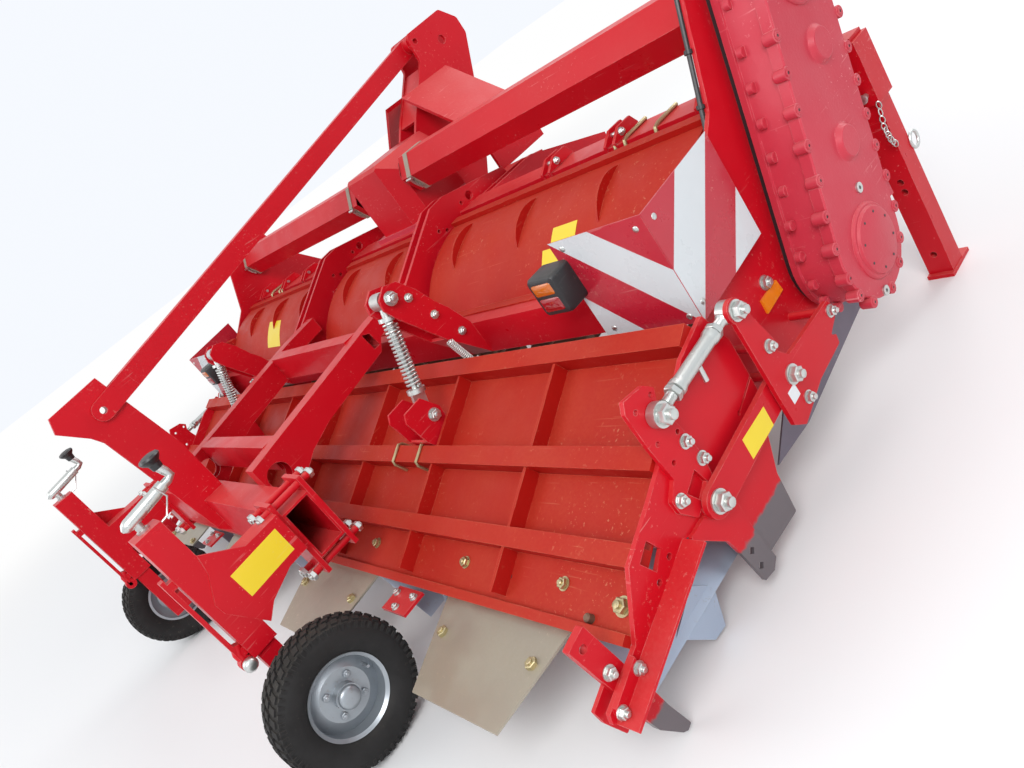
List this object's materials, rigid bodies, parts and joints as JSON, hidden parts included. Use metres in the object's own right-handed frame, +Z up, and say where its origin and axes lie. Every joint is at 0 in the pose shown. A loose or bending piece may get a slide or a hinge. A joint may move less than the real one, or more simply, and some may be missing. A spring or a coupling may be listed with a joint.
{
  "type": "ridge forming tiller",
  "caption": "Wide red rotary tiller for potato ridges: tined rotor under hinged covers, side gear cases, three-point headstock and a sprung ridging hood on depth wheels",
  "frame": {"origin": "on the ground in the centre plane, midway between the headstock's front and the tyres' rear, with the machine parked on its stands and depth wheels", "axes": "+X to the machine's right, +Y forward to the tractor, +Z up"},
  "size_m": [3.192, 2.138, 1.2445],
  "materials": {
    "red_paint": "glossy, dusty on upward faces",
    "red_cast": "painted casting",
    "zinc": "zinc plated",
    "stainless": "soiled stainless",
    "worn_steel": "earthy worn steel",
    "board": "red and white slanting stripes",
    "tyre": "dusty"
  },
  "bodies": {
    "frame": {"main_beam": "red_paint", "cross_beam": "red_paint", "side_wall_right": "red_paint", "side_wall_left": "red_paint", "gear_case_right": "red_cast", "gear_case_left": "red_cast", "shaft_guard_right": "red_paint", "shaft_guard_left": "red_paint", "gearbox_guard": "red_paint", "gearbox": "red_cast", "headstock": "red_paint", "gooseneck_right": "red_paint", "gooseneck_left": "red_paint", "rear_arm_right": "red_paint", "rear_arm_left": "red_paint", "rear_tube": "red_paint", "top_strut": "red_paint", "wheel_carrier_right": "red_paint", "wheel_carrier_left": "red_paint", "spring_bracket_right": "red_paint", "spring_bracket_left": "red_paint", "link_bracket_right": "red_paint", "link_bracket_left": "red_paint", "side_skid_right": "stainless", "side_skid_left": "stainless", "spring_coil_right": "zinc", "spring_coil_left": "zinc"},
    "rotor": {"rotor": "worn_steel"},
    "wheel_right": {"tyre_right": "tyre", "rim_right": "zinc"},
    "wheel_left": {"tyre_left": "tyre", "rim_left": "zinc"},
    "lid_right": {"rotor_lid_right": "red_paint", "warning_board_right": "board"},
    "lid_centre": {"rotor_lid_centre": "red_paint"},
    "lid_left": {"rotor_lid_left": "red_paint", "warning_board_left": "board"},
    "stand_right": {"parking_stand_right": "red_paint"},
    "stand_left": {"parking_stand_left": "red_paint"},
    "link_right": {"lower_link_right": "red_paint"},
    "link_left": {"lower_link_left": "red_paint"},
    "turnbuckle_right": {"turnbuckle_right": "zinc"},
    "turnbuckle_left": {"turnbuckle_left": "zinc"},
    "hood": {"hood_panel": "red_paint", "hood_side_right": "red_paint", "hood_side_left": "red_paint", "edge_tine_right": "red_paint", "edge_tine_left": "red_paint", "hood_bracket_right": "red_paint", "hood_bracket_left": "red_paint", "ridge_sheets": "stainless", "tongue_plates": "stainless"},
    "spring_tube_right": {"spring_tube_right": "zinc"},
    "spring_tube_left": {"spring_tube_left": "zinc"},
    "spring_rod_right": {"spring_rod_right": "zinc"},
    "spring_rod_left": {"spring_rod_left": "zinc"}
  },
  "joints": [
    {"name": "rotor_spin", "type": "hinge", "parent": "frame", "child": "rotor", "pos_m": [0, 0.314, 0.342], "axis": [1, 0, 0], "continuous": true},
    {"name": "wheel_right_spin", "type": "hinge", "parent": "frame", "child": "wheel_right", "pos_m": [0.75, -0.894, 0.175], "axis": [1, 0, 0], "continuous": true},
    {"name": "wheel_left_spin", "type": "hinge", "parent": "frame", "child": "wheel_left", "pos_m": [-0.75, -0.894, 0.175], "axis": [1, 0, 0], "continuous": true},
    {"name": "lid_right_open", "type": "hinge", "parent": "frame", "child": "lid_right", "pos_m": [0.9, 0.302, 0.7], "axis": [-1, 0, 0], "range_deg": [0, 60]},
    {"name": "lid_centre_open", "type": "hinge", "parent": "frame", "child": "lid_centre", "pos_m": [0, 0.302, 0.7], "axis": [-1, 0, 0], "range_deg": [0, 60]},
    {"name": "lid_left_open", "type": "hinge", "parent": "frame", "child": "lid_left", "pos_m": [-0.9, 0.302, 0.7], "axis": [-1, 0, 0], "range_deg": [0, 60]},
    {"name": "stand_right_lift", "type": "slide", "parent": "frame", "child": "stand_right", "axis": [0, 0, 1], "range_m": [0, 0.4]},
    {"name": "stand_left_lift", "type": "slide", "parent": "frame", "child": "stand_left", "axis": [0, 0, 1], "range_m": [0, 0.4]},
    {"name": "link_right_swing", "type": "hinge", "parent": "frame", "child": "link_right", "pos_m": [1.51, -0.029, 0.286], "axis": [-1, 0, 0], "range_deg": [0, 8]},
    {"name": "hood_level", "type": "hinge", "parent": "link_right", "child": "hood", "pos_m": [1.51, -0.332, 0.258], "axis": [-1, 0, 0], "range_deg": [-8, 0]},
    {"name": "link_left_swing", "type": "hinge", "parent": "frame", "child": "link_left", "pos_m": [-1.51, -0.029, 0.286], "axis": [-1, 0, 0], "range_deg": [0, 8]},
    {"name": "turnbuckle_right_swing", "type": "hinge", "parent": "frame", "child": "turnbuckle_right", "pos_m": [1.51, -0.073, 0.474], "axis": [-1, 0, 0], "range_deg": [0, 9.5]},
    {"name": "turnbuckle_left_swing", "type": "hinge", "parent": "frame", "child": "turnbuckle_left", "pos_m": [-1.51, -0.073, 0.474], "axis": [-1, 0, 0], "range_deg": [0, 9.5]},
    {"name": "spring_tube_right_swing", "type": "hinge", "parent": "frame", "child": "spring_tube_right", "pos_m": [0.7, -0.2, 0.745], "axis": [-1, 0, 0], "range_deg": [0, 2.7]},
    {"name": "spring_tube_left_swing", "type": "hinge", "parent": "frame", "child": "spring_tube_left", "pos_m": [-0.7, -0.2, 0.745], "axis": [-1, 0, 0], "range_deg": [0, 2.7]},
    {"name": "spring_rod_right_slide", "type": "slide", "parent": "spring_tube_right", "child": "spring_rod_right", "axis": [0, 0.3201, 0.9474], "range_m": [0, 0.042], "deforming": ["spring_coil_right"]},
    {"name": "spring_rod_left_slide", "type": "slide", "parent": "spring_tube_left", "child": "spring_rod_left", "axis": [0, 0.3201, 0.9474], "range_m": [0, 0.042], "deforming": ["spring_coil_left"]}
  ],
  "couplings": [
    {"joint": "hood_level", "follows": "link_right_swing", "ratio": -0.92},
    {"joint": "link_left_swing", "follows": "link_right_swing", "ratio": 1},
    {"joint": "turnbuckle_right_swing", "follows": "link_right_swing", "ratio": 1.178},
    {"joint": "turnbuckle_left_swing", "follows": "link_right_swing", "ratio": 1.178},
    {"joint": "spring_tube_right_swing", "follows": "link_right_swing", "ratio": 0.336},
    {"joint": "spring_tube_left_swing", "follows": "link_right_swing", "ratio": 0.336},
    {"joint": "spring_rod_right_slide", "follows": "link_right_swing", "m_per_rad": 0.2862},
    {"joint": "spring_rod_left_slide", "follows": "link_right_swing", "m_per_rad": 0.2862}
  ]
}
